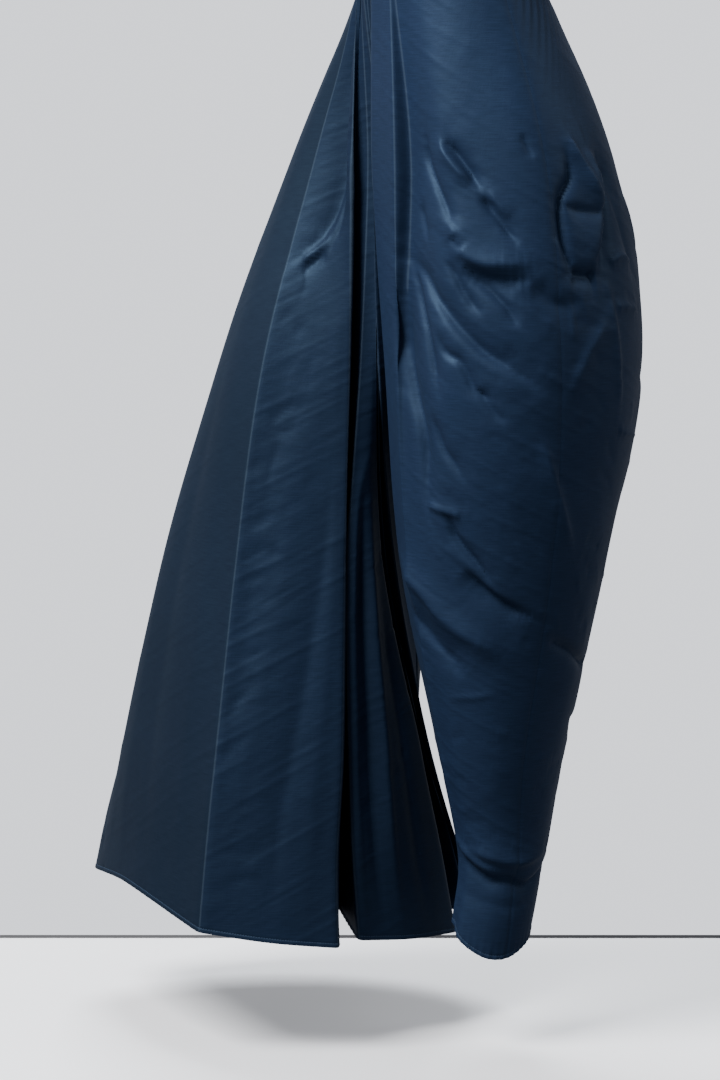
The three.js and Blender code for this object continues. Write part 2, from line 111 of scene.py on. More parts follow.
RIGHT_LINES = [
    ("inseam", "smooth", {"crotch": 10, "thigh": (-8, 20), "knee": (-66, -4), "calf": (-112, 16),
                          "ankle": (-138, 40), "hem": (-155, 58, -1042)}),
    ("inner front", "smooth", {"crotch": -52, "thigh": (-6, -40), "knee": (-58, -32), "calf": (-88, 6),
                               "ankle": (-100, 42), "hem": (-105, 70, -1045)}),
    ("centre front", "edge", {"waist": (0, -97), "hip": (0, -96), "thigh": (-9, -84), "knee": (-40, -49),
                              "calf": (-56, 0), "ankle": (-60, 33), "hem": (-62, 66, -1047)}),
    ("fourth pleat", "pocket", {"waist": (-9, -94.5), "hip": (-9, -76), "thigh": (-35, -74),
                                "knee": (-70, -58), "calf": (-90, -12), "ankle": (-92, 18),
                                "hem": (-90, 38, -1043)}),
    ("fourth edge", "edge", {"waist": (-12, -97), "hip": (-7, -82), "thigh": (-12, -82), "knee": (-27, -64),
                             "calf": (-25, -20), "ankle": (-22, 12), "hem": (-24, 40, -1054)}),
    ("third pleat", "pocket", {"waist": (-18, -94), "hip": (-17, -75), "thigh": (-42, -80),
                               "knee": (-55, -74), "calf": (-55, -25), "ankle": (-52, -2),
                               "hem": (-48, 10, -1045)}),
    ("third edge", "edge", {"waist": (-22, -96), "hip": (-14, -80), "thigh": (-14, -83), "knee": (-13, -76),
                            "calf": (5, -37), "ankle": (9, -16), "hem": (15, 3, -1061)}),
    ("third ridge", "smooth", {"waist": (-27, -95), "hip": (-20, -82), "thigh": (-16, -88),
                               "knee": (-3, -97), "calf": (22, -80), "ankle": (32, -72),
                               "hem": (38, -64, -1056)}),
    ("second edge", "edge", {"waist": (-32, -94.5), "hip": (-27, -88), "thigh": (-21, -99),
                             "knee": (-2, -124), "calf": (22, -133), "ankle": (33, -134),
                             "hem": (40, -130, -1050)}),
    ("second pleat", "pocket", {"waist": (-38, -90), "hip": (-44, -96), "thigh": (-52, -99),
                                "knee": (-52, -104), "calf": (-45, -110), "ankle": (-42, -114),
                                "hem": (-38, -120, -1030)}),
    ("first edge", "edge", {"waist": (-44, -94), "hip": (-33, -103), "thigh": (-17, -113), "knee": (6, -129),
                            "calf": (36, -146), "ankle": (50, -158), "hem": (65, -164, -1049)}),
    ("lit band", "smooth", {"waist": (-55, -86), "hip": (-62, -107), "thigh": (-44, -151),
                            "knee": (-20, -184), "calf": (12, -211), "ankle": (27, -227),
                            "hem": (40, -236, -1041)}),
    ("pressed edge", "edge", {"waist": (-66, -83), "hip": (-90, -123), "thigh": (-73, -192),
                              "knee": (-51, -236), "calf": (-19, -275), "ankle": (-5, -293),
                              "hem": (5, -305, -1030)}),
    ("front", "smooth", {"waist": (-80, -73), "hip": (-122, -131), "thigh": (-140, -202),
                         "knee": (-142, -256), "calf": (-145, -300), "ankle": (-148, -317),
                         "hem": (-150, -327, -1007)}),
    ("front turn", "smooth", {"waist": (-100, -55), "hip": (-153, -118), "thigh": (-198, -182),
                              "knee": (-222, -245), "calf": (-262, -280), "ankle": (-288, -296),
                              "hem": (-303, -304, -1024)}),
    ("side front", "smooth", {"waist": (-115, -30), "hip": (-174, -58), "thigh": (-212, -90),
                              "knee": (-232, -160), "calf": (-278, -200), "ankle": (-303, -215),
                              "hem": (-318, -225, -1034)}),
    ("side", "smooth", {"waist": (-121, 0), "hip": (-178, 16), "thigh": (-205, 8), "knee": (-226, -84),
                        "calf": (-268, -112), "ankle": (-292, -122), "hem": (-307, -127, -1036)}),
    ("back turn", "smooth", {"waist": (-108, 42), "hip": (-156, 88), "thigh": (-176, 88), "knee": (-202, 4),
                             "calf": (-236, -38), "ankle": (-256, -42), "hem": (-270, -40, -1038)}),
    ("back", "smooth", {"waist": (-80, 70), "hip": (-108, 134), "thigh": (-122, 128), "knee": (-154, 44),
                        "calf": (-190, 6), "ankle": (-203, 12), "hem": (-214, 22, -1040)}),
    ("centre back", "smooth", {"waist": (0, 93), "hip": (0, 152), "thigh": (-40, 122), "knee": (-104, 48),
                               "calf": (-152, 20), "ankle": (-174, 30), "hem": (-184, 42, -1041)}),
    ("inner back", "smooth", {"crotch": 80, "thigh": (-14, 76), "knee": (-80, 24), "calf": (-130, 22),
                              "ankle": (-160, 36), "hem": (-170, 50, -1042)}),
]

# Folds: how far each sinks, or rises where negative; its reach to the upper or right side and to the lower
# or left side, so that one side may be sharper; and its path. On the left leg the path's first number is
# degrees round LEFT_AXIS from the front towards the side and the back, on the right leg it is mm along the
# cloth from the pressed edge towards the pleats. The second number is z.
LEFT_FOLDS = [
    # the swags that fan out beside the flat pleat
    (11.2, (19.8, 5), [(-17, -330), (-14, -400), (-7, -445), (3, -490), (8, -566)]),
    (6.7, (7.2, 3.8), [(-2, -170), (0, -200), (11, -226), (22, -251), (28, -266)]),
    (4.5, (5.8, 3.8), [(26, -276), (29, -284), (35, -293)]),
    (9, (7.2, 3.8), [(17, -176), (20, -185), (27, -196), (37, -215), (43, -228)]),
    (-6.7, (3.8, 6.5), [(13, -178), (17, -188), (24, -201), (36, -222)]),
    (3.1, (4.3, 3.8), [(75, -172), (76, -180), (81, -196)]),
    (5.9, (6.5, 3.8), [(44, -236), (46, -240), (57, -260), (69, -286)]),
    (-3.6, (5.8, 3.8), [(48, -230), (52, -237), (63, -257)]),
    (-6.4, (14.4, 7.2), [(25, -255), (27, -272), (33, -291), (45, -304), (60, -306), (78, -304)]),
    (6.5, (5.2, 17), [(35, -306), (46, -316), (58, -321), (77, -320)]),
    (4.6, (8, 18), [(79, -322), (86, -338), (95, -347), (111, -344)]),
    (4.9, (5, 3.8), [(23, -302), (30, -318), (36, -336), (48, -360)]),
    (5.3, (5.8, 3.8), [(36, -314), (50, -330), (61, -348), (69, -369)]),
    (8.5, (14.4, 5), [(-15, -304), (3, -320), (14, -339), (24, -356), (36, -377), (50, -398), (66, -414),
                      (82, -436)]),
    (6.7, (7.9, 3.8), [(-14, -306), (-2, -343), (9, -379), (15, -408), (21, -446)]),
    (5.3, (6.5, 3.8), [(18, -378), (25, -398), (34, -407), (39, -422), (44, -438), (56, -445)]),
    (4.1, (5.8, 3.8), [(45, -434), (54, -457), (60, -470)]),
    (3.6, (5.8, 4.3), [(-7, -245), (-2, -262), (5, -282)]),
    (4.9, (6.5, 3.8), [(14, -466), (22, -500), (29, -516), (36, -534)]),
    (7.1, (6.5, 3.8), [(22, -568), (28, -596), (41, -621), (54, -646)]),
    (-4.1, (4.3, 3.8), [(8, -563), (24, -568), (34, -573)]),
    (9.4, (4.3, 14.4), [(33, -630), (49, -653), (64, -668), (84, -681)]),
    (-7.6, (16.2, 13.5), [(-28, -626), (0, -660), (22, -692), (60, -724)]),
    (5.3, (18, 8.6), [(-20, -680), (4, -712), (30, -744)]),
    (-5, (3.8, 14.4), [(84, -488), (93, -535), (103, -580), (110, -606)]),
    (7.7, (6.5, 6.5), [(100, -708), (124, -724), (148, -741), (170, -748)]),
    (-3.1, (4.3, 4.3), [(134, -486), (148, -492), (163, -498)]),
    (-1.7, (2.9, 2.9), [(12, -773), (33, -770), (53, -766)]),
    # the hip tuck: the shadow at its edge, its flap and the folds across it
    (9, (3.8, 5), [(110, -190), (110, -216), (100, -240), (99, -277), (104, -316)]),
    (-8, (3.8, 26), [(133, -185), (135, -222), (129, -262), (121, -300), (118, -316)]),
    (9.6, (3.8, 10.4), [(103, -313), (112, -317), (121, -317)]),
    (8, (9.6, 3.8), [(141, -190), (143, -222), (135, -262), (127, -300), (124, -318)]),
    (4.8, (4, 6.4), [(103, -245), (121, -253), (136, -251)]),
    (-7.2, (4, 9.6), [(116, -172), (119, -190), (126, -217), (131, -243)]),
    (-3.5, (4, 8), [(128, -322), (129, -354), (132, -410), (134, -464)]),
    (-5.1, (4.8, 7.2), [(131, -306), (142, -301), (153, -309)]),
    (-3.8, (4, 6.4), [(131, -352), (142, -354), (153, -360)]),
    (-3.8, (14, 4.8), [(126, -361), (110, -402), (99, -442)]),
    (-1.6, (3.2, 3.2), [(102, -340), (102, -390)]),
    (3.2, (8, 8), [(146, -180), (150, -250), (156, -330)]),
    # the bundle at the ankle
    (8, (3.8, 11), [(-6, -946), (4, -955), (41, -974), (69, -975), (107, -984), (150, -972), (176, -960)]),
    (1.5, (10, 8), [(-22, -978), (27, -1000), (73, -1006), (122, -1004), (160, -996)]),
    (-5, (16, 4), [(0, -940), (45, -952), (90, -958), (140, -950)]),
    (4.2, (6.4, 6.4), [(176, -958), (200, -966), (226, -978), (250, -984)]),
    (-4, (3.8, 8), [(-14, -936), (4, -946), (30, -960), (52, -966)]),
    # the back and the inner side, in the same manner
    (8, (16, 22), [(186, -240), (196, -380), (206, -520)]),
    (5.8, (8, 16), [(165, -560), (184, -640), (200, -760)]),
    (-4.8, (8, 14), [(170, -230), (178, -330), (182, -440)]),
    (4.8, (6.4, 14), [(222, -300), (204, -350), (178, -420), (160, -450)]),
    (5.4, (5.6, 9.6), [(236, -420), (214, -470), (186, -560)]),
    (4.2, (6.4, 8), [(240, -520), (222, -600), (196, -690)]),
    (4.5, (5.6, 14), [(150, -800), (180, -820), (214, -868)]),
    (3.5, (4.8, 8), [(246, -640), (252, -760), (240, -880)]),
    (3.8, (4.8, 8), [(-60, -460), (-44, -560), (-40, -660)]),
    (3.2, (4.8, 6.4), [(-70, -640), (-52, -760), (-46, -860)]),
]
RIGHT_FOLDS = [
    # the tucked fold near the top of the lit band, and the band's long waves
    (12, (5.6, 17), [(16, -40), (24, -126), (34, -185), (41, -250), (34, -287), (15, -310)]),
    (6, (4, 5.6), [(34, -120), (41, -200), (53, -268), (47, -300)]),
    (-3.6, (4, 3.2), [(16, -315), (29, -304), (43, -291)]),
    (4.5, (3.2, 7.2), [(18, -324), (31, -314), (42, -302)]),
    (-3, (7.2, 7.2), [(30, -60), (39, -150), (68, -247), (88, -376)]),
    (-0.7, (24, 16), [(46, -302), (60, -387), (62, -464), (56, -560), (54, -633), (48, -720), (33, -877),
                      (26, -960)]),
    (1.6, (18, 22), [(24, -380), (26, -520), (20, -700), (12, -880)]),
    (-2.2, (14, 22), [(60, -310), (79, -409), (90, -506), (103, -620), (111, -721), (110, -890),
                      (114, -1036)]),
    (2.4, (9.6, 18), [(86, -460), (96, -600), (90, -760), (78, -900), (76, -1036)]),
    # short creases across the lit band
    (0.9, (4, 3.2), [(16, -487), (30, -477), (45, -463)]),
    (1.1, (3.2, 4), [(15, -492), (34, -497), (52, -492)]),
    (0.8, (4, 3.2), [(34, -503), (28, -527), (23, -556)]),
    (0.9, (4, 3.2), [(6, -603), (20, -595), (37, -587)]),
    (0.9, (4, 4), [(3, -639), (18, -628), (32, -618)]),
    (0.8, (3.2, 3.2), [(6, -659), (23, -654), (37, -650)]),
    (0.8, (3.2, 4), [(10, -684), (25, -676), (38, -669)]),
    (1, (4.8, 4), [(15, -312), (27, -334), (26, -357)]),
    (1.1, (4.8, 4), [(2, -806), (21, -782), (40, -757)]),
    (1, (4.8, 4), [(-1, -860), (18, -835), (37, -818)]),
    (0.8, (4, 4), [(10, -943), (37, -947), (63, -941)]),
    (0.7, (4, 4), [(20, -978), (50, -972)]),
    # ridges and troughs of the stacked pleats
    (-5, (6, 8), [(212, -520), (220, -570), (254, -680), (294, -820), (322, -930), (347, -1038)]),
    (-5, (6, 8), [(235, -570), (278, -680), (328, -820), (361, -930), (393, -1038)]),
    (5, (5, 6), [(226, -570), (266, -680), (311, -820), (342, -930), (370, -1038)]),
    (3.5, (7, 9), [(290, -680), (351, -820), (394, -930), (430, -1038)]),
    # long low waves of the front panel
    (2, (26, 24), [(-80, -430), (-93, -549), (-107, -648), (-119, -747), (-128, -868), (-124, -1020)]),
    (-1.8, (26, 26), [(-40, -430), (-43, -466), (-51, -597), (-51, -727), (-56, -878), (-56, -1030)]),
    (-1.4, (20, 26), [(-150, -640), (-172, -780), (-186, -900), (-190, -1020)]),
    (1.8, (16, 22), [(-210, -560), (-232, -700), (-250, -860), (-262, -1026)]),
    # the back and the inner side, in the same manner
    (6.6, (14, 24), [(-120, -120), (-200, -330), (-262, -560), (-320, -800), (-350, -1036)]),
    (-5.1, (16, 20), [(-150, -110), (-240, -330), (-300, -560), (-360, -800), (-396, -1036)]),
    (6, (14, 20), [(-190, -120), (-290, -320), (-350, -560), (-404, -800), (-440, -1038)]),
    (-4.5, (14, 18), [(-226, -160), (-340, -340), (-400, -560), (-450, -820), (-480, -1040)]),
    (4.8, (5.6, 10.4), [(-250, -250), (-300, -330), (-330, -440)]),
    (3.9, (4.8, 9.6), [(-230, -300), (-270, -400), (-290, -520)]),
    (3.9, (6.4, 9.6), [(-420, -420), (-450, -600), (-500, -800), (-530, -1038)]),
]
LEFT_AXIS = (95, 20)

# Small crinkles, scattered by seed: seed, count, range across, range of z, lengths, slopes in degrees,
# depths, and mm to a unit across.
LEFT_CRINKLES = [
    (21, 110, (-15, 90), (-740, -200), (14, 46), (-70, -25), (0.3, 0.9), 1.9),
    (22, 70, (90, 170), (-760, -200), (12, 36), (-80, 20), (0.4, 1.2), 1.9),
    (23, 80, (170, 260), (-900, -200), (16, 46), (-70, 30), (0.5, 1.4), 1.9),
    (24, 40, (-60, 170), (-1030, -800), (10, 28), (-40, 40), (0.4, 1.0), 0.8),
]
RIGHT_CRINKLES = [
    (31, 110, (2, 60), (-1010, -360), (10, 34), (5, 50), (0.2, 0.6), 1),
    (32, 40, (60, 130), (-1020, -200), (12, 34), (20, 80), (0.2, 0.6), 1),
    (33, 50, (230, 420), (-1030, -500), (10, 30), (10, 70), (0.5, 1.2), 1),
    (34, 30, (-230, -5), (-1020, -240), (16, 46), (30, 100), (0.1, 0.3), 1),
    (35, 90, (-560, -230), (-1030, -200), (16, 46), (20, 110), (0.5, 1.3), 1),
]
# side is +1 or -1 along X, spacing is that of the points of the cloth, and wave_seed starts its undulation.
LEGS = {
    "left": {"side": 1, "spacing": 3.2, "wave_seed": 7, "lines": LEFT_LINES, "folds": LEFT_FOLDS,
             "crinkles": LEFT_CRINKLES},
    "right": {"side": -1, "spacing": 4.5, "wave_seed": 11, "lines": RIGHT_LINES, "folds": RIGHT_FOLDS,
              "crinkles": RIGHT_CRINKLES},
}


def add_camera():
    """The view of the photograph: a long lens at hip height, from the wearer's left and front."""
    azimuth, elevation = math.radians(AZIMUTH), math.radians(ELEVATION)
    towards = Vector((-math.sin(azimuth) * math.cos(elevation), math.cos(azimuth) * math.cos(elevation),
                      -math.sin(elevation)))
    camera = bpy.data.objects.new("camera", bpy.data.cameras.new("camera"))
    camera.location = MIDDLE - DISTANCE * towards
    camera.rotation_euler = towards.to_track_quat("-Z", "Y").to_euler()
    camera.data.sensor_width = 36
    camera.data.sensor_fit = "AUTO"
    camera.data.lens = LENS
    camera.data.clip_end = 50
    bpy.context.scene.collection.objects.link(camera)
    bpy.context.scene.camera = camera
    return towards


def curve_value(knots, values, z):
    """Smooth curve through the values at the knots' heights, with the slopes of their neighbours."""
    knots, values = np.asarray(knots, float), np.asarray(values, float)
    last = len(knots) - 1
    i = np.clip(np.searchsorted(-knots, -z, side="left") - 1, 0, last - 1)

    def slope(a, b):
        return (values[b] - values[a]) / (knots[b] - knots[a])

    span = knots[i + 1] - knots[i]
    start = slope(np.maximum(i - 1, 0), i + 1)
    end = slope(i, np.minimum(i + 2, last))
    t = np.clip((z - knots[i]) / span, 0, 1)
    ease = t * t * (3 - 2 * t)
    rise = values[i] + (values[i + 1] - values[i]) * ease
    return rise + span * (start * t * (1 - t) ** 2 - end * t * t * (1 - t))


def smoothstep(low, high, value):
    """0 up to the low value, 1 from the high one, and a smooth rise between them."""
    t = np.clip((value - low) / (high - low), 0, 1)
    return t * t * (3 - 2 * t)


def unit(vectors):
    """The vectors at length 1."""
    return vectors / np.maximum(np.linalg.norm(vectors, axis=-1, keepdims=True), 1e-9)


def own_side(leg, points):
    """Points kept on their own leg's side of the centre seam; below the crotch the legs part."""
    side = leg["side"]
    least = SEAM / 2 - np.maximum(CROTCH - points[..., 2], 0)
    points[..., 0] = side * np.maximum(side * points[..., 0], least)
    return points


def line_top(leg, places):
    """Height where a line leaves the crotch seam, or None where it runs up to the waist."""
    if "crotch" not in places:
        return None
    by_name = {name: row for name, _, row in leg["lines"]}
    inseam = by_name["inseam"]["crotch"]
    start = by_name["centre front" if places["crotch"] < inseam else "centre back"]["hip"][1]
    share = (places["crotch"] - start) / (inseam - start)
    return RISE_END + (CROTCH - RISE_END) * math.sin(share * math.pi / 2)


def line_points(leg, places, shares, part):
    """Points of one line at shares of the way down the rise, or down the leg to the hem."""
    crotch_top = line_top(leg, places)
    top = crotch_top or (PANEL_TOP if part == "rise" else RISE_END)
    bottom = RISE_END if part == "rise" else places["hem"][2]
    z = top + (bottom - top) * shares
    names = [name for name in HEIGHTS if name in places]
    knots = [HEIGHTS[name] for name in names] + [places["hem"][2]]
    x, y = (curve_value(knots, [places[name][axis] for name in names] + [places["hem"][axis]], z)
            for axis in (0, 1))
    if crotch_top:
        blend = smoothstep(0, LEG_BLEND, crotch_top - z)
        x, y = x * blend, places["crotch"] * (1 - blend) + y * blend
    return own_side(leg, np.stack([x, y, z], axis=-1))


def open_pocket(before, at, after):
    """The bottom of a knife pleat is two points, a pocket's width apart."""
    flat = np.array([1, 1, 0])
    across = unit(unit((before - at) * flat) - unit((after - at) * flat)) * (POCKET / 2)
    return at + across, at - across


def leg_rows(leg, part, shares, counts):
    """Rows of points round a leg. counts gives the divisions from each line to the next."""
    lines = [row for row in leg["lines"] if part == "leg" or "crotch" not in row[2]]
    closed = part == "leg"
    keys = [line_points(leg, places, shares, part) for _, _, places in lines]
    total = len(lines)
    columns = []

    def at(k):
        return keys[k % total]

    for i in range(total if closed else total - 1):
        name, form, _ = lines[i]
        p, q = at(i), at(i + 1)
        length = np.linalg.norm(q - p, axis=-1, keepdims=True)

        def tangent(k):
            is_open = not closed and k in (0, total - 1)
            if lines[k % total][1] != "smooth" or is_open:
                return q - p
            reach = sum(np.linalg.norm(at(k + d) - at(k + d - 1), axis=-1, keepdims=True) for d in (0, 1))
            bent = (at(k + 1) - at(k - 1)) * (length / reach)
            if lines[k % total][0] != "centre back":
                return bent
            return q - p + (bent - q + p) * smoothstep(0, SEAT, RISE_END - at(k)[..., 2:])

        m, n = tangent(i), tangent(i + 1)
        for s in range(counts[name]):
            t = s / counts[name]
            ease = t * t * (3 - 2 * t)
            point = p + (q - p) * ease + m * t * (1 - t) ** 2 - n * t * t * (1 - t)
            if s == 0 and form == "pocket":
                one, other = open_pocket(at(i - 1), p, q)
                columns += [(name, own_side(leg, one)), (name + " end", own_side(leg, other))]
            else:
                columns.append((name if s == 0 else "", own_side(leg, point)))
    if not closed:
        columns.append((lines[-1][0], at(total - 1).copy()))
    return [name for name, _ in columns], np.stack([points for _, points in columns], axis=1)


def soften(points, closed):
    """Rounds the folded edges by averaging each point with its neighbours along the row."""
    for _ in range(SOFTENED):
        before, after = np.roll(points, 1, axis=1), np.roll(points, -1, axis=1)
        mean = (before + 2 * points + after) / 4
        if not closed:
            mean[:, 0], mean[:, -1] = points[:, 0], points[:, -1]
        points = mean
    return points


def leg_grid(leg):
    """The whole leg as a grid of points, NaN above the crotch seam between the legs."""
    spacing = leg["spacing"]
    coarse = {name: 1 for name, _, _ in leg["lines"]}
    _, sample = leg_rows(leg, "leg", np.linspace(0, 1, 9), coarse)
    lines = leg["lines"]
    corners = [k for k, name in enumerate(leg_rows(leg, "leg", np.zeros(1), coarse)[0]) if name in coarse]
    counts = {}
    for (name, _, _), k, following in zip(lines, corners, corners[1:] + corners[:1]):
        length = np.linalg.norm(sample[:, following] - sample[:, k], axis=-1).max()
        counts[name] = max(2, round(length / spacing))
    rise_rows = round((PANEL_TOP - RISE_END) / spacing)
    leg_count = round(LEG_LENGTH / spacing)
    above_hem = np.linspace(0, 1, leg_count + 1)[:-3]
    shares = np.concatenate([above_hem, 1 - np.array(HEM_ROWS) / LEG_LENGTH])
    names, lower = leg_rows(leg, "leg", shares, counts)
    _, upper = leg_rows(leg, "rise", np.linspace(0, 1, rise_rows + 1)[:-1], counts)
    lower, upper = soften(lower, True), soften(upper, False)
    first = names.index("centre front")
    top = np.full((rise_rows, lower.shape[1], 3), np.nan)
    top[:, first:first + upper.shape[1]] = upper
    return names, np.concatenate([top, lower])


def meet_band(points):
    """The tops of the back panels brought under the curve of the waistband, where they are sewn on."""
    x, y = points[0, :, 0], points[0, :, 1]
    half_width, depth = BAND_HALF_WIDTH - UNDER_BAND, BAND_DEPTHS["back"] - UNDER_BAND
    growth = 1 / np.sqrt((x / half_width) ** 2 + (y / depth) ** 2) - 1
    share = 1 - smoothstep(0, 30, PANEL_TOP - points[..., 2])
    points[..., :2] *= (1 + share * np.nan_to_num(growth * smoothstep(0, 25, y)))[..., None]
    return points


def grid_normals(points, side):
    """Unit normals that point out of the cloth, over the cells that exist."""
    total = np.zeros_like(points)
    right = np.roll(points, -1, axis=1)
    cells = np.cross(right[1:] - points[:-1], right[:-1] - points[1:]) * side
    cells = np.nan_to_num(cells)
    total[:-1] += cells
    total[1:] += cells
    total[:-1] += np.roll(cells, 1, axis=1)
    total[1:] += np.roll(cells, 1, axis=1)
    return unit(total)


def path_points(places, spacing=4):
    """Closely spaced points of a smooth path through the given places."""
    knots = np.array(places, float)
    ends = np.concatenate([[2 * knots[0] - knots[1]], knots, [2 * knots[-1] - knots[-2]]])
    out = []
    for p0, p1, p2, p3 in zip(ends, ends[1:], ends[2:], ends[3:]):
        steps = max(2, int(np.linalg.norm(p2 - p1) / spacing))
        t = np.linspace(0, 1, steps, endpoint=False)[:, None]
        out.append(0.5 * (2 * p1 + (p2 - p0) * t + (2 * p0 - 5 * p1 + 4 * p2 - p3) * t ** 2
                          + (3 * p1 - p0 - 3 * p2 + p3) * t ** 3))
    return np.concatenate(out + [knots[-1:]])


def fold_depth(folds, across, z, scale):
    """How far the folds press each point inward. across and the paths are in the leg's own measure,
    and scale turns that measure into mm at each point."""
    total = np.zeros_like(z)
    for depth, reach, path in folds:
        path = path_points(path)
        far = 3 * max(reach)
        near = np.flatnonzero((z > path[:, 1].min() - far) & (z < path[:, 1].max() + far)
                              & ((across - path[:, 0].min()) * scale > -far)
                              & ((across - path[:, 0].max()) * scale < far))
        if not len(near):
            continue
        step_x = (across[near, None] - path[None, :, 0]) * scale[near, None]
        step_z = z[near, None] - path[None, :, 1]
        squared = step_x ** 2 + step_z ** 2
        nearest = squared.argmin(axis=1)
        rows = np.arange(len(near))
        along = np.gradient(path, axis=0)[nearest] * np.stack([scale[near], np.ones(len(near))], axis=1)
        side = along[:, 0] * step_z[rows, nearest] - along[:, 1] * step_x[rows, nearest]
        width = np.where(side > 0, reach[0], reach[1])
        share = nearest / (len(path) - 1)
        taper = smoothstep(-0.1, 0.3, np.minimum(share, 1 - share))
        beside = (side / np.linalg.norm(along, axis=1)) ** 2
        squared = np.where((share > 0) & (share < 1), beside, squared[rows, nearest])
        away = np.sqrt(squared / width ** 2 + ROUNDED ** 2) - ROUNDED
        total[near] += depth * taper * np.exp(-FALL * away)
    return total


def crinkles(seed, count, across, heights, lengths, slopes, depths, measure):
    """Short seeded creases over a region, in the same form as the folds."""
    rng = np.random.default_rng(seed)
    made = []
    for _ in range(count):
        start = np.array([rng.uniform(*across), rng.uniform(*heights)])
        turn, length = math.radians(rng.uniform(*slopes)), rng.uniform(*lengths)
        step = np.array([math.cos(turn) / measure, math.sin(turn)]) * length / 2
        bow = np.array([-step[1] / measure, step[0] * measure]) * rng.uniform(-0.25, 0.25)
        depth = rng.uniform(*depths) * rng.choice((-0.7, 1))  # some rise, a little less
        reach = tuple(rng.uniform(3, 7, 2))
        made.append((depth, reach, [start - step, start + bow, start + step]))
    return made


def waves(seed, across, z, lengths=(170, 110), height=1.2):
    """Low undulation of the cloth from a few waves in seeded directions."""
    rng = np.random.default_rng(seed)
    total = np.zeros_like(z)
    directions = 3
    for length in lengths:
        for _ in range(directions):
            turn, phase = rng.uniform(-0.6, 0.6), rng.uniform(0, 2 * math.pi)
            swing = 0.35 * np.sin(z / (length * 1.7) + rng.uniform(0, 6))
            along = across * math.cos(turn) + z * math.sin(turn)
            total += np.sin(along * 2 * math.pi / length + phase + swing)
    return total * height / (directions * len(lengths))


def edge_codes(pairs):
    """One number for each edge, the same whichever way round its two points are given."""
    pairs = np.sort(np.asarray(pairs), axis=1).astype(np.int64)
    return pairs[:, 0] * 10 ** 7 + pairs[:, 1]


def new_object(name, vertices, faces, uv=None, marks=None, sharp=None):
    """A smooth mesh in metres from points in mm, with its cloth coordinates, marks and sharp edges."""
    mesh = bpy.data.meshes.new(name)
    mesh.from_pydata((np.asarray(vertices) * MM).tolist(), [], faces)
    mesh.polygons.foreach_set("use_smooth", [True] * len(mesh.polygons))
    if sharp is not None:
        pairs = np.empty(len(mesh.edges) * 2, int)
        mesh.edges.foreach_get("vertices", pairs)
        flags = np.isin(edge_codes(pairs.reshape(-1, 2)), edge_codes(sharp))
        mesh.attributes.new("sharp_edge", "BOOLEAN", "EDGE").data.foreach_set("value", flags)
    if uv is not None:
        layer = mesh.uv_layers.new(name="cloth")
        loops = np.empty(len(mesh.loops), int)
        mesh.loops.foreach_get("vertex_index", loops)
        layer.data.foreach_set("uv", (np.asarray(uv)[loops] * MM).ravel())
    for mark, values in (marks or {}).items():
        attribute = mesh.attributes.new(mark, "FLOAT", "POINT")
        attribute.data.foreach_set("value", np.asarray(values, np.float32))
    piece = bpy.data.objects.new(name, mesh)
    bpy.context.scene.collection.objects.link(piece)
    return piece


def cloth_piece(name, leg, built, start, end):
    """Closed shell over the grid's columns from one named line to another, parted from its neighbours."""
    names, points, normals, uv, marks = built
    total = len(names)
    first = names.index(start)
    columns = (first + np.arange((names.index(end) - first) % total + 1)) % total
    outer = points[:, columns].copy()
    for edge, inner in ((0, 1), (-1, -2)):
        outer[:, edge] += unit(outer[:, inner] - outer[:, edge]) * SEAM / 2
    shell = np.stack([outer, outer - normals[:, columns] * CLOTH], axis=2)
    real = ~np.isnan(outer[..., 0])
    ids = np.full(real.shape, -1)
    ids[real] = np.arange(real.sum()) * 2
    girth = uv[:, -1:] - uv[:, :1]
    across = uv[:, columns] + girth * (columns < first)
    flat = np.stack([across, outer[..., 2]], axis=-1)[real]
    a, b, c, d = (ids[rows, cols].ravel() for rows, cols in (
        (slice(0, -1), slice(0, -1)), (slice(1, None), slice(0, -1)),
        (slice(1, None), slice(1, None)), (slice(0, -1), slice(1, None))))
    quads = np.stack([a, b, c, d], axis=1)
    quads = quads[(quads >= 0).all(axis=1)]
    if leg["side"] < 0:
        quads = quads[:, ::-1]
    edges = np.concatenate([quads[:, [k, (k + 1) % 4]] for k in range(4)])
    codes, uses = np.unique(edge_codes(edges), return_counts=True)
    rim = edges[np.isin(edge_codes(edges), codes[uses == 1])]
    rim_faces = np.stack([rim[:, 1], rim[:, 0], rim[:, 0] + 1, rim[:, 1] + 1], axis=1)
    faces = np.concatenate([quads, quads[:, ::-1] + 1, rim_faces])
    values = {mark: np.repeat(value[:, columns][real], 2) for mark, value in marks.items()}
    return new_object(name, shell[real].reshape(-1, 3), faces.tolist(), np.repeat(flat, 2, axis=0),
                      values, np.concatenate([rim, rim + 1]))


def gathers(points, uv):
    """Small upright folds where the elastic draws in the backs below the waistband."""
    spacing, height, reach = 10.5, 1.7, 46
    fade = np.exp((points[:, 2] - PANEL_TOP) / reach) * smoothstep(0, 45, points[:, 1])
    phase = uv * 2 * math.pi / spacing + 1.4 * np.sin(uv / 23) + points[:, 2] / 40
    return fade * height * np.sin(phase) * (0.7 + 0.3 * np.sin(uv / 31 + 2))


